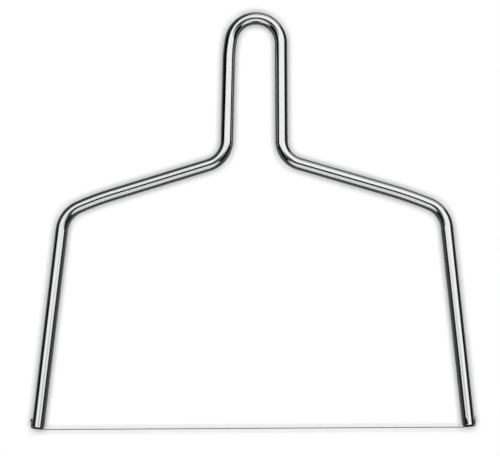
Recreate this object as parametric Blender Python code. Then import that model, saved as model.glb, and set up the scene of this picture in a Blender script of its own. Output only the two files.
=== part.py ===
"""Clay cutting bow: one bent steel rod that holds a taut cutting wire between its two tips.

The bow lies flat on its own plane. X runs across the span, +Y runs from the wire to the
handle loop, and Z runs through the rod. The origin is the centre of the bow's box, on the
surface it rests on. Every length is in metres and every angle is in degrees.
"""

import math

import bmesh
import bpy
from mathutils import Matrix, Vector

OBJECT_NAME = "clay_cutting_bow"

# Rod
ROD_DIAMETER = 0.00635
ROD_RADIUS = ROD_DIAMETER / 2
ROD_BEVEL_RESOLUTION = 6
TIP_CHAMFER = 0.0005

# Bend table, read from the left tip over the handle loop to the right tip. Each row is a
# straight feed, then a bend of that centre-line radius, then its turn, with left positive.
# A long-radius row next to a tight one is the soft run-out of the same bend.
FIRST_HEADING = 82.9
BEND_TABLE = (
    (0.1031, 0.0150, -59.2),  # left shoulder
    (0.0000, 0.1500, -6.9),  # left shoulder, run-out into the arm
    (0.0523, 0.0135, 71.6),  # left root of the handle
    (0.0415, 0.0670, -9.6),  # left side of the loop, drawing in
    (0.0000, 0.0130, -168.7),  # top of the loop
    (0.0502, 0.0125, 73.5),  # right root of the handle
    (0.0494, 0.1900, -6.4),  # right arm, easing into the shoulder
    (0.0000, 0.0145, -61.2),  # right shoulder
)
LAST_FEED = 0.1033
DEGREES_PER_STEP = 6.0

# Cutting wire and the beads swaged on its ends
WIRE_DIAMETER = 0.0005
WIRE_RADIUS = WIRE_DIAMETER / 2
WIRE_BEVEL_RESOLUTION = 2
WIRE_CORNER_RADIUS = 0.0008
WIRE_CORNER_STEPS = 5
BEAD_DIAMETER = 0.0020
BEAD_RADIUS = BEAD_DIAMETER / 2
BEAD_ABOVE_TIP = 0.0038
BEAD_STANDOFF = 0.0001
BEAD_SEGMENTS = 16
BEAD_RINGS = 10

# Clearance between neighbouring pieces, and what it makes of the cuts in the rod
GAP = 0.0003
WIRE_STANDOFF = WIRE_RADIUS + GAP
GROOVE_WIDTH = WIRE_DIAMETER + 2 * GAP
GROOVE_DEPTH = WIRE_RADIUS + GAP
SEAT_RADIUS = BEAD_RADIUS + GAP
CAP_WELD = 0.000001


class Tip:
    """One end of the rod: its centre, the way up the leg, and the way out of the bow."""

    def __init__(self, centre, leg_point, out_sign):
        self.centre = centre
        self.up = (leg_point - centre).normalized()
        self.out = out_sign * Vector((self.up.y, -self.up.x, 0.0))

    def at(self, out, up):
        return self.centre + self.out * out + self.up * up

    def angle(self):
        """Turn about Z that carries +X onto the outward direction."""
        return math.atan2(self.out.y, self.out.x)

    def bead_centre(self):
        return self.at(ROD_RADIUS + BEAD_STANDOFF, BEAD_ABOVE_TIP)

    def wire_exit(self):
        """Where the wire leaves the end groove on the inner side of the leg."""
        return self.at(-ROD_RADIUS - GAP, 0.0)

    def wire_reach(self):
        """The wire's outermost point, where its hook starts up the outer side of the leg."""
        return self.at(ROD_RADIUS + WIRE_STANDOFF + WIRE_RADIUS, WIRE_CORNER_RADIUS)


def clear_scene():
    for obj in list(bpy.data.objects):
        bpy.data.objects.remove(obj, do_unlink=True)


def new_collection(name):
    collection = bpy.data.collections.new(name)
    bpy.context.scene.collection.children.link(collection)
    return collection


def metal(name, colour, roughness):
    material = bpy.data.materials.new(name)
    material.use_nodes = True
    shader = material.node_tree.nodes["Principled BSDF"]
    shader.inputs["Base Color"].default_value = (*colour, 1.0)
    shader.inputs["Roughness"].default_value = roughness
    shader.inputs["Metallic"].default_value = 1.0
    return material


def walk_bends():
    """Centre-line points of the rod in a start frame, with the left tip at the origin."""
    heading = math.radians(FIRST_HEADING)
    points = [Vector((0.0, 0.0, 0.0))]
    for feed, radius, turn_degrees in BEND_TABLE:
        if feed > 0.0:
            points.append(points[-1] + feed * Vector((math.cos(heading), math.sin(heading), 0.0)))
        turn = math.radians(turn_degrees)
        side = math.copysign(radius, turn)
        centre = points[-1] + side * Vector((-math.sin(heading), math.cos(heading), 0.0))
        steps = math.ceil(abs(turn_degrees) / DEGREES_PER_STEP)
        for step in range(1, steps + 1):
            angle = heading + turn * step / steps
            points.append(centre + side * Vector((math.sin(angle), -math.cos(angle), 0.0)))
        heading += turn
    points.append(points[-1] + LAST_FEED * Vector((math.cos(heading), math.sin(heading), 0.0)))
    return points


def tips_of(points):
    return {
        "left": Tip(points[0], points[1], -1.0),
        "right": Tip(points[-1], points[-2], 1.0),
    }


def placed_path():
    """The centre line moved so that the bow's box is centred on X and Y and rests on Z = 0."""
    points = walk_bends()
    tips = tips_of(points)
    low_x = tips["left"].wire_reach().x
    high_x = tips["right"].wire_reach().x
    low_y = min(tip.wire_exit().y for tip in tips.values()) - WIRE_RADIUS
    high_y = max(point.y for point in points) + ROD_RADIUS
    shift = Vector((-(low_x + high_x) / 2, -(low_y + high_y) / 2, ROD_RADIUS))
    return [point + shift for point in points]


def tube(name, points, radius, resolution, collection, scales=None):
    """A filled tube along straight segments, with flats turned to face up, down and sideways."""
    sides = 4 + 2 * resolution
    curve = bpy.data.curves.new(name, "CURVE")
    curve.dimensions = "3D"
    curve.twist_mode = "Z_UP"
    curve.bevel_depth = radius / math.cos(math.pi / sides)
    curve.bevel_resolution = resolution
    curve.use_fill_caps = True
    spline = curve.splines.new("POLY")
    spline.points.add(len(points) - 1)
    for index, point in enumerate(points):
        spline.points[index].co = (*point, 1.0)
        spline.points[index].tilt = math.pi / sides
        spline.points[index].radius = scales[index] if scales else 1.0
    obj = bpy.data.objects.new(name, curve)
    collection.objects.link(obj)
    return obj


def as_mesh(curve_object, collection):
    """The tube as a mesh object of the same name, with its end caps welded to its sides."""
    name = curve_object.name
    graph = bpy.context.evaluated_depsgraph_get()
    mesh = bpy.data.meshes.new_from_object(curve_object.evaluated_get(graph))
    matrix = curve_object.matrix_world.copy()
    bpy.data.objects.remove(curve_object, do_unlink=True)
    shell = bmesh.new()
    shell.from_mesh(mesh)
    bmesh.ops.remove_doubles(shell, verts=shell.verts, dist=CAP_WELD)
    shell.to_mesh(mesh)
    shell.free()
    mesh.name = name
    obj = bpy.data.objects.new(name, mesh)
    obj.matrix_world = matrix
    collection.objects.link(obj)
    return obj


def finish_surface(obj, material):
    obj.data.materials.clear()
    obj.data.materials.append(material)
    obj.data.shade_smooth()
    obj.data.set_sharp_from_angle(angle=math.radians(40.0))


def cut(obj, cutter):
    modifier = obj.modifiers.new(cutter.name, "BOOLEAN")
    modifier.operation = "DIFFERENCE"
    modifier.solver = "EXACT"
    modifier.object = cutter


def hide_cutter(obj, parent):
    obj.parent = parent
    obj.hide_render = True
    obj.display_type = "WIRE"


def groove_cutter(side, tip, collection, parent):
    """A bar that saws a groove straight across the end face, for the wire to lie in."""
    mesh = bpy.data.meshes.new(f"groove_cutter_{side}")
    bar = bmesh.new()
    size = Vector((2 * ROD_DIAMETER, 2 * GROOVE_DEPTH, GROOVE_WIDTH))
    bmesh.ops.create_cube(bar, size=1.0, matrix=Matrix.Diagonal((*size, 1.0)))
    bar.to_mesh(mesh)
    bar.free()
    obj = bpy.data.objects.new(mesh.name, mesh)
    collection.objects.link(obj)
    obj.location = tip.centre
    obj.rotation_euler = (0.0, 0.0, tip.angle())
    hide_cutter(obj, parent)
    return obj


def ball(name, radius, location, collection, parent):
    mesh = bpy.data.meshes.new(name)
    shell = bmesh.new()
    bmesh.ops.create_uvsphere(shell, u_segments=BEAD_SEGMENTS, v_segments=BEAD_RINGS, radius=radius)
    shell.to_mesh(mesh)
    shell.free()
    obj = bpy.data.objects.new(name, mesh)
    collection.objects.link(obj)
    obj.location = location
    obj.parent = parent
    return obj


def bow_frame(points, tips, material, parts, cutters, parent):
    """The bent rod, chamfered and grooved at each end, with a round seat for each bead."""
    start = points[0] + tips["left"].up * TIP_CHAMFER
    end = points[-1] + tips["right"].up * TIP_CHAMFER
    stations = [points[0], start, *points[1:-1], end, points[-1]]
    tip_scale = (ROD_RADIUS - TIP_CHAMFER) / ROD_RADIUS
    scales = [tip_scale, *[1.0] * (len(stations) - 2), tip_scale]
    rod = tube("bow_frame", stations, ROD_RADIUS, ROD_BEVEL_RESOLUTION, parts, scales)
    rod = as_mesh(rod, parts)
    rod.parent = parent
    finish_surface(rod, material)
    for side, tip in tips.items():
        cut(rod, groove_cutter(side, tip, cutters, parent))
        seat = ball(f"bead_seat_cutter_{side}", SEAT_RADIUS, tip.bead_centre(), cutters, parent)
        hide_cutter(seat, parent)
        cut(rod, seat)
    return rod


def wire_hook(tip):
    """Points from under the bead, down the outer side and round the corner to the inner side."""
    out = ROD_RADIUS + WIRE_STANDOFF
    points = [tip.at(out, BEAD_ABOVE_TIP - BEAD_RADIUS - GAP)]
    for step in range(WIRE_CORNER_STEPS + 1):
        angle = math.radians(90.0) * step / WIRE_CORNER_STEPS
        inset = WIRE_CORNER_RADIUS * (1.0 - math.cos(angle))
        height = WIRE_CORNER_RADIUS * (1.0 - math.sin(angle))
        points.append(tip.at(out - inset, height))
    points.append(tip.wire_exit())
    return points


def cutting_wire(tips, material, parts, parent):
    """One taut wire: a hook round each tip and a straight span between them."""
    points = wire_hook(tips["left"]) + wire_hook(tips["right"])[::-1]
    wire = tube("cutting_wire", points, WIRE_RADIUS, WIRE_BEVEL_RESOLUTION, parts)
    wire.parent = parent
    wire.data.materials.append(material)
    return wire


def wire_bead(side, tip, material, parts, parent):
    bead = ball(f"wire_bead_{side}", BEAD_RADIUS, tip.bead_centre(), parts, parent)
    finish_surface(bead, material)
    return bead


def main():
    clear_scene()
    parts = new_collection(OBJECT_NAME)
    cutters = new_collection(f"{OBJECT_NAME}_cutters")
    parent = bpy.data.objects.new(f"{OBJECT_NAME}_origin", None)
    parts.objects.link(parent)
    plated = metal("bright_plated_rod", (0.82, 0.83, 0.83), 0.08)
    steel = metal("drawn_steel_wire", (0.62, 0.62, 0.61), 0.30)
    swaged = metal("swaged_steel_bead", (0.58, 0.58, 0.57), 0.35)
    points = placed_path()
    tips = tips_of(points)
    bow_frame(points, tips, plated, parts, cutters, parent)
    cutting_wire(tips, steel, parts, parent)
    for side, tip in tips.items():
        wire_bead(side, tip, swaged, parts, parent)


main()
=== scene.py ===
"""Looks of the clay cutting bow: a bright bent rod, its taut cutting wire and the two beads on its ends.

The bow lies flat on a pale floor, in the CAD model's own frame. X runs across the span, +Y runs
from the wire to the handle loop, and Z runs through the rod. Named lengths are in metres and
named angles are in degrees.
"""

import math

import bmesh
import bpy
from mathutils import Matrix, Vector


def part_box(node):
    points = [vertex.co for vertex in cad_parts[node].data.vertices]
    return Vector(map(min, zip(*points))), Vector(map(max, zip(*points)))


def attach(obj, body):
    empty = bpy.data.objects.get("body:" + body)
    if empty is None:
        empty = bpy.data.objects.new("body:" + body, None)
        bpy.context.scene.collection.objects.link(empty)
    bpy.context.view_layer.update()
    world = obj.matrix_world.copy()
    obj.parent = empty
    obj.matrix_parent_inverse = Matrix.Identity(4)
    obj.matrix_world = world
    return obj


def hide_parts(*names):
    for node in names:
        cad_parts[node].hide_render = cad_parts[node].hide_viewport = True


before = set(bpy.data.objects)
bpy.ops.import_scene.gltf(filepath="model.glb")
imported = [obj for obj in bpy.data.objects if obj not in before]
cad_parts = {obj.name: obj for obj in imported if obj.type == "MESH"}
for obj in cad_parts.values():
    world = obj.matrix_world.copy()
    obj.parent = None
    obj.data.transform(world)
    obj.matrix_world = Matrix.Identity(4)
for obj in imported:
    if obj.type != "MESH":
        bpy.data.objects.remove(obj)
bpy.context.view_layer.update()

MM = 0.001
BODY = "root"

# Rod, with the same bends as the CAD model. Each row is a straight feed, the centre-line radius
# of the bend after it and that bend's turn, with left positive, from the left tip to the right.
ROD_RADIUS = 6.35 * MM / 2
FIRST_HEADING = 82.9
BEND_TABLE = (
    (103.1 * MM, 15.0 * MM, -59.2),
    (0.0, 150.0 * MM, -6.9),
    (52.3 * MM, 13.5 * MM, 71.6),
    (41.5 * MM, 67.0 * MM, -9.6),
    (0.0, 13.0 * MM, -168.7),
    (50.2 * MM, 12.5 * MM, 73.5),
    (49.4 * MM, 190.0 * MM, -6.4),
    (0.0, 14.5 * MM, -61.2),
)
LAST_FEED = 103.3 * MM
DEGREES_PER_RING = 2.0
ROD_SIDES = 96
TIP_LENGTH = 9.0 * MM
TIP_RINGS = 36
SHARP_ANGLE = 40.0

# Cut ends of the rod: a flat face, a chamfer with a rounded shoulder, and on the right tip a
# shallow flat that starts and ends at FACET_SPAN up the leg
CHAMFER_DEPTH = 0.45 * MM
CHAMFER_LENGTH = 0.75 * MM
END_BLEND = 0.25 * MM
END_BLEND_STEPS = 6
END_FACE_SHARES = (0.2, 0.5, 0.8)
FACET_SPAN = (0.95 * MM, 4.9 * MM)
FACET_DEPTH = 0.21 * MM
FACET_SLOPE = 3.2
FACET_TILT = 21.5

# Wire, which passes each tip a little beyond its end face. SNUG is its clearance in the groove
# and a bead's in its seat.
WIRE_RADIUS = 0.25 * MM
WIRE_SIDES = 20
WIRE_CORNER_RADIUS = 0.8 * MM
WIRE_CORNER_STEPS = 10
WIRE_DROP = {"left": 0.18 * MM, "right": 0.27 * MM}
WIRE_STRAIGHT_BELOW_BEAD = 1.1 * MM
SNUG = 0.03 * MM
GROOVE_SIDES = 12
# Painted shade on the wire: its colour is darkened over both short tails, standing in for the dark rod
# and floor that they mirror
SHADED_TAIL_LENGTH = 4.6 * MM
SHADED_TAIL_FADE = 1.2 * MM
SHADED_TAIL_SHARE = 0.12
WIRE_COLOURS = ((0.23, 0.23, 0.235), (0.31, 0.31, 0.31))
WIRE_ROUGHNESS = 0.35

# Beads
BEAD_RADIUS = 1.0 * MM
BEAD_ABOVE_TIP = 3.8 * MM
BEAD_STANDOFF = 0.1 * MM
BEAD_SEGMENTS = 48
BEAD_PROFILE_STEPS = 24
SEAT_SUBDIVISIONS = 5
COLLAR_RADIUS = 0.42 * MM
COLLAR_HEIGHT = 0.25 * MM
PRESS_MARK_SHARE = 0.86
PRESSED_OUTER = {"left": 1.0 * MM, "right": 0.62 * MM}
# Painted light: the left bead's steel is given dark greys and the right one's light greys, standing in
# for how light falls on each, not a real difference in the steel
BEAD_LIT_AND_SHADED_GREYS = {"left": (0.10, 0.24), "right": (0.30, 0.62)}
BEAD_ROUGHNESS = 0.4
MERGE_DISTANCE = 0.0001 * MM

# Camera: straight above the bow, with the handle at the top of the picture
CAMERA_HEIGHT = 2000.0 * MM
VIEW_CENTRE = (-1.26 * MM, -3.80 * MM)
VIEW_WIDTH = 258.1 * MM
VIEW_ROLL = -0.236
SENSOR_WIDTH = 36.0


class Station:
    """One cross-section of a tube: its centre, the way along the tube, and the length so far."""

    def __init__(self, centre, along, length):
        self.centre = centre
        self.along = along
        self.length = length


def heading_vector(angle):
    """The level direction at this angle from +X, in radians."""
    return Vector((math.cos(angle), math.sin(angle), 0.0))


def walk_bends():
    """Stations along the rod's centre line from the left tip, close together in the bends."""
    heading = math.radians(FIRST_HEADING)
    stations = [Station(Vector((0.0, 0.0, 0.0)), heading_vector(heading), 0.0)]
    for feed, radius, turn_degrees in (*BEND_TABLE, (LAST_FEED, 0.0, 0.0)):
        last = stations[-1]
        if feed > 0.0:
            point = last.centre + last.along * feed
            stations.append(Station(point, last.along, last.length + feed))
        start = stations[-1]
        turn = math.radians(turn_degrees)
        side = math.copysign(radius, turn)
        centre = start.centre + side * Vector((-math.sin(heading), math.cos(heading), 0.0))
        steps = math.ceil(abs(turn_degrees) / DEGREES_PER_RING)
        for step in range(1, steps + 1):
            angle = heading + turn * step / steps
            point = centre + side * Vector((math.sin(angle), -math.cos(angle), 0.0))
            length = start.length + radius * abs(turn) * step / steps
            stations.append(Station(point, heading_vector(angle), length))
        heading += turn
    return stations


class Tip:
    """One end of the rod: its centre, the way up the leg, and the way out of the bow."""

    def __init__(self, side, centre, up, out_sign):
        self.side = side
        self.centre = centre
        self.up = up
        self.out = out_sign * Vector((up.y, -up.x, 0.0))

    def at(self, out, up, rise=0.0):
        return self.centre + self.out * out + self.up * up + Vector((0.0, 0.0, rise))

    def bead_centre(self):
        return self.at(ROD_RADIUS + BEAD_STANDOFF, BEAD_ABOVE_TIP)

    def frame(self, origin):
        """Matrix with X outward, Y up the leg and Z up or down, placed at origin."""
        across = self.out.cross(self.up)
        columns = Matrix((self.out, self.up, across)).transposed()
        return Matrix.Translation(origin) @ columns.to_4x4()


def tips_of(stations):
    first, last = stations[0], stations[-1]
    return {
        "left": Tip("left", first.centre, first.along, -1.0),
        "right": Tip("right", last.centre, -last.along, 1.0),
    }


def box_centre(node):
    low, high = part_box(node)
    return (low + high) / 2


def placed_stations():
    """The walked centre line, moved so that its beads fall on the CAD model's beads."""
    stations = walk_bends()
    shift = Vector((0.0, 0.0, 0.0))
    for side, tip in tips_of(stations).items():
        shift += (box_centre(f"wire_bead_{side}") - tip.bead_centre()) / 2
    for station in stations:
        station.centre = station.centre + shift
    return stations


def with_tip_rings(stations):
    """The same line with evenly spaced stations added over the last stretch at each end."""
    first, last = stations[0], stations[-1]
    near_start, near_end = [], []
    for ring in range(1, TIP_RINGS + 1):
        distance = TIP_LENGTH * ring / TIP_RINGS
        near_start.append(Station(first.centre + first.along * distance, first.along, distance))
        point = last.centre - last.along * distance
        near_end.append(Station(point, last.along, last.length - distance))
    return [first, *near_start, *stations[1:-1], *near_end[::-1], last]


# ---------------------------------------------------------------- meshes


def new_object(name, shell):
    mesh = bpy.data.meshes.new(name)
    bmesh.ops.recalc_face_normals(shell, faces=shell.faces)
    shell.to_mesh(mesh)
    shell.free()
    obj = bpy.data.objects.new(name, mesh)
    bpy.context.scene.collection.objects.link(obj)
    return obj


def smooth(obj):
    obj.data.shade_smooth()
    obj.data.set_sharp_from_angle(angle=math.radians(SHARP_ANGLE))


def ring_of(shell, station, radius, sides):
    """A ring of vertices round a station, starting on its left side."""
    left = Vector((-station.along.y, station.along.x, 0.0)).normalized()
    up = station.along.cross(left)
    verts = []
    for index in range(sides):
        angle = 2 * math.pi * index / sides
        offset = left * math.cos(angle) - up * math.sin(angle)
        verts.append(shell.verts.new(station.centre + offset * radius))
    return verts


def skin(shell, rings, lengths, radius):
    """Quads between neighbouring rings, with the length as U and the way round as V, in metres."""
    uv_layer = shell.loops.layers.uv.new("along")
    sides = len(rings[0])
    for row in range(len(rings) - 1):
        for index in range(sides):
            after = (index + 1) % sides
            corners = (
                (rings[row][index], row, index),
                (rings[row][after], row, index + 1),
                (rings[row + 1][after], row + 1, index + 1),
                (rings[row + 1][index], row + 1, index),
            )
            face = shell.faces.new([vert for vert, _, _ in corners])
            for loop, (_, at_row, at_index) in zip(face.loops, corners):
                around = 2 * math.pi * radius * at_index / sides
                loop[uv_layer].uv = (lengths[at_row], around)


def cap(shell, ring, centre, reverse):
    """A fan that closes a ring at its middle, turned over for the first ring of a tube."""
    middle = shell.verts.new(centre)
    for index in range(len(ring)):
        corners = [ring[index], ring[(index + 1) % len(ring)], middle]
        shell.faces.new(corners[::-1] if reverse else corners)


def chamfer_profile():
    """(inward, radius) points of an end: its flat face, its chamfer and the full rod behind it."""
    face = ROD_RADIUS - CHAMFER_DEPTH
    points = [(0.0, face * share) for share in END_FACE_SHARES]
    points.append((0.0, face))
    slope = math.atan2(CHAMFER_DEPTH, CHAMFER_LENGTH)
    set_back = END_BLEND * math.tan(slope / 2)
    for step in range(END_BLEND_STEPS + 1):
        angle = slope * (1.0 - step / END_BLEND_STEPS)
        inward = CHAMFER_LENGTH + set_back - END_BLEND * math.sin(angle)
        points.append((inward, ROD_RADIUS - END_BLEND * (1.0 - math.cos(angle))))
    return points


def chamfered_ends(stations):
    """Stations and radii of the whole rod, with a flat face and a small chamfer at each end."""
    first, last = stations[0], stations[-1]
    starts, ends = [], []
    for inward, radius in chamfer_profile():
        start = Station(first.centre + first.along * inward, first.along, inward)
        end = Station(last.centre - last.along * inward, last.along, last.length - inward)
        starts.append((start, radius))
        ends.append((end, radius))
    full = starts[-1][0].length
    middle = [
        (station, ROD_RADIUS)
        for station in stations
        if full < station.length < last.length - full
    ]
    return [*starts, *middle, *ends[::-1]]


def tube(name, rows, sides):
    """A closed tube through (station, radius) rows, with a UV map of metres along and around."""
    shell = bmesh.new()
    rings = [ring_of(shell, station, radius, sides) for station, radius in rows]
    lengths = [station.length for station, _ in rows]
    widest = max(radius for _, radius in rows)
    skin(shell, rings, lengths, widest)
    cap(shell, rings[0], rows[0][0].centre, True)
    cap(shell, rings[-1], rows[-1][0].centre, False)
    return new_object(name, shell)


def cut(obj, cutter):
    """Takes the cutter's shape out of obj for good, and removes the cutter."""
    modifier = obj.modifiers.new("cut", "BOOLEAN")
    modifier.operation = "DIFFERENCE"
    modifier.solver = "EXACT"
    modifier.object = cutter
    graph = bpy.context.evaluated_depsgraph_get()
    mesh = bpy.data.meshes.new_from_object(obj.evaluated_get(graph))
    obj.modifiers.remove(modifier)
    obj.data = mesh
    bpy.data.objects.remove(cutter)


def groove_cutter(tip):
    """A round-bottomed bar that cuts the wire's groove right across an end face."""
    shell = bmesh.new()
    radius = WIRE_RADIUS + SNUG
    outline = []
    for step in range(GROOVE_SIDES + 1):
        angle = math.pi * step / GROOVE_SIDES
        outline.append((radius * math.sin(angle), radius * math.cos(angle)))
    outline.append((-2 * radius, -radius))
    outline.append((-2 * radius, radius))
    rings = []
    for out in (-2 * ROD_RADIUS, 2 * ROD_RADIUS):
        points = [tip.at(out, up - WIRE_DROP[tip.side], rise) for up, rise in outline]
        rings.append([shell.verts.new(point) for point in points])
    for index in range(len(outline)):
        after = (index + 1) % len(outline)
        shell.faces.new((rings[0][index], rings[0][after], rings[1][after], rings[1][index]))
    shell.faces.new(rings[0])
    shell.faces.new(rings[1][::-1])
    return new_object("groove_cutter", shell)


def seat_cutter(tip):
    """A ball that cuts the bead's seat into the outer side of the leg."""
    shell = bmesh.new()
    place = tip.frame(tip.bead_centre())
    radius = BEAD_RADIUS + SNUG
    bmesh.ops.create_icosphere(
        shell, subdivisions=SEAT_SUBDIVISIONS, radius=radius, matrix=place
    )
    return new_object("seat_cutter", shell)


def facet_cutter(tip):
    """A block whose underside shaves a shallow, tapering flat off the tip's inner front."""
    start, end = FACET_SPAN
    tilt = math.radians(FACET_TILT)
    drop = math.tan(math.radians(FACET_SLOPE))
    shell = bmesh.new()
    corners = []
    for up in (start, end):
        low = ROD_RADIUS - FACET_DEPTH + (up - start) * drop
        for depth in (low, 2 * ROD_RADIUS):
            for across in (-ROD_RADIUS, ROD_RADIUS):
                out = -depth * math.sin(tilt) + across * math.cos(tilt)
                rise = depth * math.cos(tilt) + across * math.sin(tilt)
                corners.append(shell.verts.new(tip.at(out, up, rise)))
    bmesh.ops.convex_hull(shell, input=corners)
    return new_object("facet_cutter", shell)


def make_rod(stations, tips):
    """The bent rod with its chamfered ends, wire grooves and bead seats, and the right tip's flat."""
    rod = tube("bent_rod", chamfered_ends(with_tip_rings(stations)), ROD_SIDES)
    for tip in tips.values():
        cut(rod, groove_cutter(tip))
        cut(rod, seat_cutter(tip))
    cut(rod, facet_cutter(tips["right"]))
    smooth(rod)
    return rod


def path_stations(points):
    """Stations at the given points, each looking along the mean of its two segments."""
    stations = []
    length = 0.0
    for index, point in enumerate(points):
        before = points[max(index - 1, 0)]
        after = points[min(index + 1, len(points) - 1)]
        if index > 0:
            length += (point - before).length
        stations.append(Station(point, (after - before).normalized(), length))
    return stations


def wire_hook(tip):
    """Points from inside the bead, down the outer side, round the corner and across the end."""
    out = ROD_RADIUS + WIRE_RADIUS + SNUG
    drop = WIRE_DROP[tip.side]
    points = [tip.bead_centre(), tip.at(out, BEAD_ABOVE_TIP - WIRE_STRAIGHT_BELOW_BEAD)]
    for step in range(WIRE_CORNER_STEPS + 1):
        angle = math.pi / 2 * step / WIRE_CORNER_STEPS
        inset = WIRE_CORNER_RADIUS * (1.0 - math.cos(angle))
        height = WIRE_CORNER_RADIUS * (1.0 - math.sin(angle)) - drop
        points.append(tip.at(out - inset, height))
    points.append(tip.at(-ROD_RADIUS, -drop))
    return points


def make_wire(tips):
    """The whole wire from bead to bead, and its length."""
    points = wire_hook(tips["left"]) + wire_hook(tips["right"])[::-1]
    rows = [(station, WIRE_RADIUS) for station in path_stations(points)]
    wire = tube("taut_wire", rows, WIRE_SIDES)
    smooth(wire)
    return wire, rows[-1][0].length


def bead_profile():
    """(radius, height) points of the swaged bead along the wire, from its lower collar up."""
    top = math.acos(COLLAR_RADIUS / BEAD_RADIUS)
    points = [(0.0, -BEAD_RADIUS - COLLAR_HEIGHT), (COLLAR_RADIUS, -BEAD_RADIUS - COLLAR_HEIGHT)]
    for step in range(BEAD_PROFILE_STEPS + 1):
        angle = -top + 2 * top * step / BEAD_PROFILE_STEPS
        points.append((BEAD_RADIUS * math.cos(angle), BEAD_RADIUS * math.sin(angle)))
    points.append((0.0, BEAD_RADIUS * math.sin(top)))
    return points


def make_bead(tip):
    """A turned bead round the wire, pressed flat on three sides and laid in its seat."""
    shell = bmesh.new()
    chain = [shell.verts.new((radius, height, 0.0)) for radius, height in bead_profile()]
    edges = [shell.edges.new(pair) for pair in zip(chain, chain[1:])]
    bmesh.ops.spin(
        shell, geom=[*chain, *edges], cent=(0, 0, 0), axis=(0, 1, 0),
        angle=2 * math.pi, steps=BEAD_SEGMENTS, use_merge=True, use_duplicate=False,
    )
    bmesh.ops.remove_doubles(shell, verts=shell.verts, dist=MERGE_DISTANCE)
    limit = BEAD_RADIUS * PRESS_MARK_SHARE
    for vert in shell.verts:
        vert.co.z = max(-limit, min(limit, vert.co.z))
        vert.co.x = min(PRESSED_OUTER[tip.side], vert.co.x)
    bmesh.ops.transform(shell, matrix=tip.frame(tip.bead_centre()), verts=shell.verts)
    bead = new_object(f"swaged_bead_{tip.side}", shell)
    smooth(bead)
    return bead


# ---------------------------------------------------------------- materials


# Noise scales are cells per metre: along and round the rod, or the same in every direction
RING_SCALE = (9000.0, 120.0, 1.0)
DRAWN_SCALE = (60.0, 5200.0, 1.0)
CLOUD_SCALE = (90.0, 160.0, 1.0)
GRAIN_SCALE = (3000.0, 3000.0, 3000.0)
PATCH_SCALE = (500.0, 500.0, 500.0)
FLOOR_NOISE_SCALE = 40.0
NOISE_ROUGHNESS = 0.6
NOISE_MIDDLE = (0.3, 0.7)
BUMP_DISTANCE = 0.02 * MM
PLATE_BUMP = 0.04
PLATE_COLOURS = ((0.875, 0.90, 0.898), (0.945, 0.972, 0.969))
PLATE_ROUGHNESS = (0.06, 0.09)
DRAWN_SHARE = 0.5
STEEL_BUMP = 0.25
STEEL_ROUGHNESS_SPREAD = 0.06
PAPER_COLOURS = ((0.895, 0.895, 0.895), (0.905, 0.905, 0.905))
WHITE = (1.0, 1.0, 1.0, 1.0)
BLACK = (0.0, 0.0, 0.0, 1.0)


class Nodes:
    """A small helper that adds nodes to a tree and links them by socket name."""

    def __init__(self, tree):
        self.tree = tree
        tree.nodes.clear()

    def add(self, kind, inputs=None, **settings):
        node = self.tree.nodes.new(kind)
        for key, value in settings.items():
            setattr(node, key, value)
        for key, value in (inputs or {}).items():
            if isinstance(value, bpy.types.NodeSocket):
                self.tree.links.new(value, node.inputs[key])
            else:
                node.inputs[key].default_value = value
        return node

    def math(self, operation, first, second=0.0, third=0.0):
        values = {0: first, 1: second, 2: third}
        return self.add("ShaderNodeMath", values, operation=operation).outputs[0]

    def remap(self, value, low, high, to_low, to_high, interpolation="LINEAR"):
        node = self.add(
            "ShaderNodeMapRange",
            {"Value": value, "From Min": low, "From Max": high, "To Min": to_low, "To Max": to_high},
            interpolation_type=interpolation,
        )
        return node.outputs["Result"]


def new_material(name):
    material = bpy.data.materials.new(name)
    material.use_nodes = True
    return material, Nodes(material.node_tree)


def stretched_noise(nodes, vector, scale, detail=3.0):
    """Noise with its own scale in each direction."""
    mapping = nodes.add("ShaderNodeMapping", {"Vector": vector, "Scale": scale})
    noise = nodes.add(
        "ShaderNodeTexNoise",
        {
            "Vector": mapping.outputs["Vector"],
            "Scale": 1.0,
            "Detail": detail,
            "Roughness": NOISE_ROUGHNESS,
        },
    )
    return noise.outputs["Fac"]


def tinted(nodes, fac, low, high):
    """A colour between low and high."""
    node = nodes.add("ShaderNodeMix", data_type="RGBA")
    nodes.tree.links.new(fac, node.inputs["Factor"])
    node.inputs["A"].default_value = (*low, 1.0)
    node.inputs["B"].default_value = (*high, 1.0)
    return node.outputs["Result"]


def finish_metal(nodes, colour, roughness, height, strength):
    """Joins a metal's colour, roughness and bump height to the material's output."""
    bump = nodes.add(
        "ShaderNodeBump", {"Strength": strength, "Distance": BUMP_DISTANCE, "Height": height}
    )
    shader = nodes.add(
        "ShaderNodeBsdfPrincipled",
        {
            "Base Color": colour,
            "Metallic": 1.0,
            "Roughness": roughness,
            "Normal": bump.outputs["Normal"],
        },
    )
    nodes.add("ShaderNodeOutputMaterial", {"Surface": shader.outputs["BSDF"]})


def polished_rod():
    """Bright plating over a ground rod: fine rings round it, faint draw marks along it."""
    material, nodes = new_material("polished_rod")
    uv = nodes.add("ShaderNodeUVMap", uv_map="along").outputs["UV"]
    rings = stretched_noise(nodes, uv, RING_SCALE)
    drawn = stretched_noise(nodes, uv, DRAWN_SCALE)
    clouds = stretched_noise(nodes, uv, CLOUD_SCALE, detail=2.0)
    colour = tinted(nodes, clouds, *PLATE_COLOURS)
    roughness = nodes.remap(clouds, *NOISE_MIDDLE, *PLATE_ROUGHNESS)
    marks = nodes.math("MULTIPLY_ADD", drawn, DRAWN_SHARE, rings)
    finish_metal(nodes, colour, roughness, marks, PLATE_BUMP)
    return material


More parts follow.
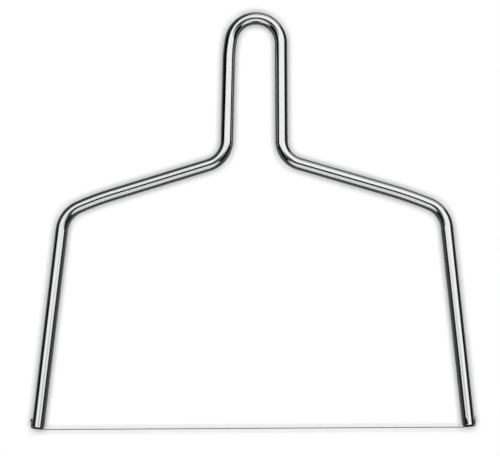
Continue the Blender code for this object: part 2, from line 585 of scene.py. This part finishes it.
def painted_tail_shade(nodes, colour, wire_length):
    """The wire's colour, with painted shade that darkens both short tails near the beads."""
    uv = nodes.add("ShaderNodeUVMap", uv_map="along").outputs["UV"]
    along = nodes.add("ShaderNodeSeparateXYZ", {"Vector": uv}).outputs["X"]
    from_end = nodes.math("MINIMUM", along, nodes.math("SUBTRACT", wire_length, along))
    tail_shade_factor = nodes.remap(
        from_end, SHADED_TAIL_LENGTH, SHADED_TAIL_LENGTH + SHADED_TAIL_FADE, SHADED_TAIL_SHARE, 1.0, "SMOOTHSTEP"
    )
    scaled = nodes.add("ShaderNodeVectorMath", {0: colour, "Scale": tail_shade_factor}, operation="SCALE")
    return scaled.outputs["Vector"]


def dull_steel(name, low, high, roughness, wire_length=0.0):
    """Dull grey steel with a fine grain and patches, and on a wire with painted shade on its tails."""
    material, nodes = new_material(name)
    place = nodes.add("ShaderNodeTexCoord").outputs["Object"]
    grain = stretched_noise(nodes, place, GRAIN_SCALE)
    patches = stretched_noise(nodes, place, PATCH_SCALE, detail=2.0)
    colour = tinted(nodes, patches, low, high)
    # A wire gets painted shade on both tails
    if wire_length > 0.0:
        colour = painted_tail_shade(nodes, colour, wire_length)
    spread = (roughness - STEEL_ROUGHNESS_SPREAD, roughness + STEEL_ROUGHNESS_SPREAD)
    finish_metal(nodes, colour, nodes.remap(grain, *NOISE_MIDDLE, *spread), grain, STEEL_BUMP)
    return material


def dress(obj, material, node):
    obj.data.materials.clear()
    obj.data.materials.append(material)
    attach(obj, BODY)
    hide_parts(node)


# ---------------------------------------------------------------- studio

FLOOR_HALF = 6.0
FLOOR_SEGMENTS = 8
SWEEP_STARTS = 0.25
SWEEP_FULL = 0.9
LIGHT_HEIGHT = 1.5
LIGHT_OFFSET = 0.72
LIGHT_SIDE = 1.00
LIGHT_POWER = 12.9
AMBIENT = 0.04

# The mirrored sky, on the flat map that SkyMap describes. An edge is (azimuth, offset, softness),
# and a disc or a hole is (centre, radius, softness). The bright main card behind the bow is
# dimmer past FALLOFF_EDGE and just in front of the zenith, where a camera's lens would show.
# MAIN_HOLE keeps the room's walls off it. AROUND_BOW reaches a little below the horizon.
MAIN_LEVEL = 0.91
MAIN_EDGES = (
    (96.3, -0.114, 0.03),
    (79.8, -0.113, 0.03),
    (130.0, -0.355, 0.06),
    (50.0, -0.31, 0.06),
    (-40.0, -0.60, 0.08),
)
MAIN_DISC = ((0.03, 0.215), 0.60, 0.08)
LENS_EDGE = (-90.0, 0.014, 0.01)
LENS_DISC = ((0.0, -0.10), 0.17, 0.08)
LENS_LOSS = 0.40
FALLOFF_EDGE = (140.0, 0.25, 0.2)
FALLOFF_LOSS = 0.15
MAIN_HOLE = ((0.03, 0.20), 0.64, 0.06)
AROUND_BOW = ((0.0, 0.0), 1.5, 0.3)
ROOM_LEVEL = 0.005
ROOM_CARDS = (
    # Second softbox, in front of the bow
    {
        "level": 0.69,
        "edges": ((-129.0, 0.068, 0.03), (-51.0, 0.068, 0.03)),
        "discs": (((0.0, -0.39), 0.335, 0.05),),
        "holes": (((0.0, -0.66), 0.16, 0.06),),
    },
    # Dim wall behind the bow and to its right, then a fainter one straight behind it
    {
        "level": 0.24,
        "edges": ((50.0, 0.76, 0.2), (118.0, 0.2, 0.2)),
        "discs": (AROUND_BOW,),
        "holes": (MAIN_HOLE,),
    },
    {
        "level": 0.03,
        "edges": ((100.0, 0.45, 0.3),),
        "discs": (AROUND_BOW,),
        "holes": (MAIN_HOLE,),
    },
    # Dim wall in front of the bow
    {
        "level": 0.05,
        "edges": ((-90.0, 0.0, 0.06),),
        "discs": (AROUND_BOW,),
        "holes": (((0.0, 0.0), 0.70, 0.10),),
    },
    # Everything well below the horizon
    {"level": 0.085, "holes": (((0.0, 0.0), 1.45, 0.5),)},
)

# Black flags over the stretches of rod that run across, which grow to their full width as the
# sideways share of the rod's direction goes from FLAG_STARTS to FLAG_FULL
FLAG_HEIGHT = 20.0 * MM
FLAG_BACK_ANGLE = 16.5
FLAG_FRONT_ANGLE = 10.0
FLAG_STARTS, FLAG_FULL = 0.35, 0.75

# Black flags beside the handle's two bars. The low angles are keyed by which way the rod runs
# along a bar: 1 is up the left bar and -1 is down the right one.
HANDLE_FLAG_DISTANCE = 6.0 * MM
HANDLE_FLAG_LOW_ANGLES = {1.0: 74.0, -1.0: 59.0}
HANDLE_FLAG_HIGH_ANGLE = 41.5
HANDLE_FLAG_STARTS, HANDLE_FLAG_FULL = 0.45, 0.95
HANDLE_FLAG_FROM = 27.0 * MM
HANDLE_FLAG_RAMP = 22.0 * MM

# Black flags in front of the two cut ends
TIP_FLAG_DISTANCE = 4.0 * MM
TIP_FLAG_HALF_WIDTH = 6.0 * MM
TIP_FLAG_HEIGHT = 10.0 * MM


def floor_material():
    """Matt paper round the bow, which turns into an evenly lit sweep further out."""
    material, nodes = new_material("pale_floor")
    place = nodes.add("ShaderNodeTexCoord").outputs["Object"]
    radius = nodes.add("ShaderNodeVectorMath", {0: place}, operation="LENGTH").outputs["Value"]
    outer = nodes.remap(radius, SWEEP_STARTS, SWEEP_FULL, 0.0, 1.0, "SMOOTHSTEP")
    noise = nodes.add(
        "ShaderNodeTexNoise", {"Vector": place, "Scale": FLOOR_NOISE_SCALE, "Detail": 2.0}
    )
    colour = tinted(nodes, noise.outputs["Fac"], *PAPER_COLOURS)
    paper = nodes.add("ShaderNodeBsdfDiffuse", {"Color": colour})
    sweep = nodes.add("ShaderNodeEmission", {"Color": WHITE, "Strength": 1.0})
    shader = nodes.add("ShaderNodeMixShader", {0: outer, 1: paper.outputs[0], 2: sweep.outputs[0]})
    nodes.add("ShaderNodeOutputMaterial", {"Surface": shader.outputs["Shader"]})
    return material


def make_floor():
    shell = bmesh.new()
    bmesh.ops.create_grid(
        shell, x_segments=FLOOR_SEGMENTS, y_segments=FLOOR_SEGMENTS, size=FLOOR_HALF
    )
    floor = new_object("studio_floor", shell)
    floor.data.materials.append(floor_material())
    floor.visible_glossy = False


def make_lamps():
    """Four square softboxes overhead, with a gap between them where the camera looks down."""
    places = [(x, y) for x in (-LIGHT_OFFSET, LIGHT_OFFSET) for y in (-LIGHT_OFFSET, LIGHT_OFFSET)]
    for number, (x, y) in enumerate(places):
        lamp = bpy.data.lights.new(f"overhead_softbox_{number}", "AREA")
        lamp.shape = "SQUARE"
        lamp.size = LIGHT_SIDE
        lamp.energy = LIGHT_POWER
        obj = bpy.data.objects.new(f"overhead_softbox_{number}", lamp)
        obj.location = (x, y, LIGHT_HEIGHT)
        obj.visible_camera = False
        obj.visible_glossy = False
        bpy.context.scene.collection.objects.link(obj)


class SkyMap:
    """Soft-edged cards drawn on a flat map of the directions that the metal mirrors.

    The zenith is the middle of the map and the horizon is its circle of radius 1. +X is to the
    right and +Y is up. Azimuths are counted from +X towards +Y.
    """

    def __init__(self, nodes):
        self.nodes = nodes
        direction = nodes.add("ShaderNodeTexCoord").outputs["Generated"]
        axes = nodes.add("ShaderNodeSeparateXYZ", {"Vector": direction})
        depth = nodes.math("MAXIMUM", nodes.math("ADD", axes.outputs["Z"], 1.0), 0.001)
        self.x = nodes.math("DIVIDE", axes.outputs["X"], depth)
        self.y = nodes.math("DIVIDE", axes.outputs["Y"], depth)

    def beyond(self, azimuth, offset, softness):
        """1 past a straight line drawn across this azimuth, so far from the middle, 0 before it."""
        angle = math.radians(azimuth)
        partial = self.nodes.math("MULTIPLY", self.x, math.cos(angle))
        reach = self.nodes.math("MULTIPLY_ADD", self.y, math.sin(angle), partial)
        low, high = offset - softness / 2, offset + softness / 2
        return self.nodes.remap(reach, low, high, 0.0, 1.0, "SMOOTHSTEP")

    def within(self, centre, radius, softness):
        """1 inside a disc, 0 outside."""
        across = self.nodes.math("SUBTRACT", self.x, centre[0])
        along = self.nodes.math("SUBTRACT", self.y, centre[1])
        square = self.nodes.math("MULTIPLY", across, across)
        distance = self.nodes.math("SQRT", self.nodes.math("MULTIPLY_ADD", along, along, square))
        low, high = radius - softness / 2, radius + softness / 2
        return self.nodes.remap(distance, low, high, 1.0, 0.0, "SMOOTHSTEP")

    def card(self, level, edges=(), discs=(), holes=()):
        """A card of this brightness, kept beyond its edges, inside its discs and outside its holes."""
        value = level
        for edge in edges:
            value = self.nodes.math("MULTIPLY", value, self.beyond(*edge))
        for disc in discs:
            value = self.nodes.math("MULTIPLY", value, self.within(*disc))
        for hole in holes:
            kept = self.nodes.math("SUBTRACT", 1.0, self.within(*hole))
            value = self.nodes.math("MULTIPLY", value, kept)
        return value


def main_card(sky):
    """The big softbox behind the bow, with its fall-off and the mirrored lens."""
    nodes = sky.nodes
    shade = nodes.math("MULTIPLY", sky.beyond(*LENS_EDGE), sky.within(*LENS_DISC))
    lens = nodes.math("MULTIPLY_ADD", shade, -LENS_LOSS, 1.0)
    falloff = nodes.math("MULTIPLY_ADD", sky.beyond(*FALLOFF_EDGE), -FALLOFF_LOSS, 1.0)
    level = nodes.math("MULTIPLY", nodes.math("MULTIPLY", lens, falloff), MAIN_LEVEL)
    return sky.card(level, edges=MAIN_EDGES, discs=(MAIN_DISC,))


def studio_world():
    """A sky that the camera sees as white, metal mirrors as cards, and matt paper sees as dim."""
    world = bpy.data.worlds.new("studio")
    world.use_nodes = True
    bpy.context.scene.world = world
    world.cycles.sampling_method = "NONE"
    nodes = Nodes(world.node_tree)
    sky = SkyMap(nodes)
    mirrored = nodes.math("ADD", main_card(sky), ROOM_LEVEL)
    for card in ROOM_CARDS:
        mirrored = nodes.math("ADD", sky.card(**card), mirrored)
    rays = nodes.add("ShaderNodeLightPath")
    backdrop = nodes.remap(rays.outputs["Is Camera Ray"], 0.0, 1.0, AMBIENT, 1.0)
    level = nodes.add("ShaderNodeMix", data_type="FLOAT")
    nodes.tree.links.new(rays.outputs["Is Glossy Ray"], level.inputs["Factor"])
    nodes.tree.links.new(backdrop, level.inputs["A"])
    nodes.tree.links.new(mirrored, level.inputs["B"])
    strength = level.outputs["Result"]
    background = nodes.add("ShaderNodeBackground", {"Color": WHITE, "Strength": strength})
    nodes.add("ShaderNodeOutputWorld", {"Surface": background.outputs["Background"]})


def flag_material():
    material, nodes = new_material("black_flag")
    shader = nodes.add("ShaderNodeBsdfDiffuse", {"Color": BLACK})
    nodes.add("ShaderNodeOutputMaterial", {"Surface": shader.outputs["BSDF"]})
    return material


def mirrored_height(distance, angle):
    """How high a ray from overhead, mirrored this far off the vertical, meets a card beside the rod."""
    tilt = math.radians(angle)
    left = distance - ROD_RADIUS * math.sin(tilt / 2)
    return ROD_RADIUS * math.cos(tilt / 2) + left / math.tan(tilt)


def handle_flags(shell, stations):
    """Low black cards to the left of both bars of the handle, which draw their dark left edges."""
    for sign, low_angle in HANDLE_FLAG_LOW_ANGLES.items():
        low = mirrored_height(HANDLE_FLAG_DISTANCE, low_angle)
        high = mirrored_height(HANDLE_FLAG_DISTANCE, HANDLE_FLAG_HIGH_ANGLE)
        before = None
        for station in stations:
            upright = station.along.y * sign - HANDLE_FLAG_STARTS
            share = min(1.0, upright / (HANDLE_FLAG_FULL - HANDLE_FLAG_STARTS))
            share *= min(1.0, (station.centre.y - HANDLE_FLAG_FROM) / HANDLE_FLAG_RAMP)
            if upright <= 0.0 or station.centre.y < HANDLE_FLAG_FROM:
                before = None
                continue
            outward = Vector((-station.along.y, station.along.x, 0.0)) * sign
            left = station.centre + outward * HANDLE_FLAG_DISTANCE
            rises = (low, low + (high - low) * share)
            pair = [shell.verts.new(left + Vector((0.0, 0.0, rise))) for rise in rises]
            if before:
                shell.faces.new((before[0], pair[0], pair[1], before[1]))
            before = pair


def tip_flags(shell, tips):
    """A low black card in front of each end, which darkens the chamfer of its cut face."""
    for tip in tips.values():
        corners = []
        for out in (-TIP_FLAG_HALF_WIDTH, TIP_FLAG_HALF_WIDTH):
            foot = tip.at(out, -TIP_FLAG_DISTANCE)
            corners.append((foot.x, foot.y))
        (x0, y0), (x1, y1) = corners
        top = TIP_FLAG_HEIGHT
        points = ((x0, y0, 0.0), (x1, y1, 0.0), (x1, y1, top), (x0, y0, top))
        shell.faces.new([shell.verts.new(point) for point in points])


def overhead_flags(shell, stations):
    """Black strips over the stretches of rod that run across, which draw their dark middle line."""
    front = -FLAG_HEIGHT * math.tan(math.radians(FLAG_FRONT_ANGLE))
    back = FLAG_HEIGHT * math.tan(math.radians(FLAG_BACK_ANGLE))
    before = None
    for station in stations:
        along = station.along if station.along.x >= 0 else -station.along
        share = (abs(along.x) - FLAG_STARTS) / (FLAG_FULL - FLAG_STARTS)
        share = max(0.0, min(1.0, share))
        if share == 0.0:
            before = None
            continue
        away = Vector((-along.y, along.x, 0.0))
        lift = station.centre + Vector((0.0, 0.0, FLAG_HEIGHT))
        pair = [
            shell.verts.new(lift + away * front),
            shell.verts.new(lift + away * (front + (back - front) * share)),
        ]
        if before:
            shell.faces.new((before[0], pair[0], pair[1], before[1]))
        before = pair


def make_flags(stations, tips):
    """All the black flags, which only the metal's reflections see."""
    shell = bmesh.new()
    overhead_flags(shell, stations)
    handle_flags(shell, stations)
    tip_flags(shell, tips)
    flags = new_object("studio_flags", shell)
    flags.data.materials.append(flag_material())
    flags.visible_camera = False
    flags.visible_diffuse = False
    flags.visible_shadow = False


def make_camera(stations):
    camera = bpy.data.cameras.new("camera")
    camera.sensor_width = SENSOR_WIDTH
    camera.lens = SENSOR_WIDTH * CAMERA_HEIGHT / VIEW_WIDTH
    obj = bpy.data.objects.new("camera", camera)
    height = stations[0].centre.z + CAMERA_HEIGHT
    obj.location = (*VIEW_CENTRE, height)
    obj.rotation_euler = (0.0, 0.0, math.radians(VIEW_ROLL))
    bpy.context.scene.collection.objects.link(obj)
    bpy.context.scene.camera = obj


def main():
    stations = placed_stations()
    tips = tips_of(stations)
    dress(make_rod(stations, tips), polished_rod(), "bow_frame")
    wire, wire_length = make_wire(tips)
    steel = dull_steel("grey_wire_steel", *WIRE_COLOURS, WIRE_ROUGHNESS, wire_length)
    dress(wire, steel, "cutting_wire")
    for side, (low, high) in BEAD_LIT_AND_SHADED_GREYS.items():
        # Each bead's greys hold painted light: the left bead is painted as shaded, the right one as lit
        swaged = dull_steel(f"bead_steel_painted_light_{side}", (low,) * 3, (high,) * 3, BEAD_ROUGHNESS)
        dress(make_bead(tips[side]), swaged, f"wire_bead_{side}")
    make_floor()
    make_lamps()
    make_flags(stations, tips)
    studio_world()
    make_camera(stations)
    bpy.context.scene.view_settings.view_transform = "Standard"


main()
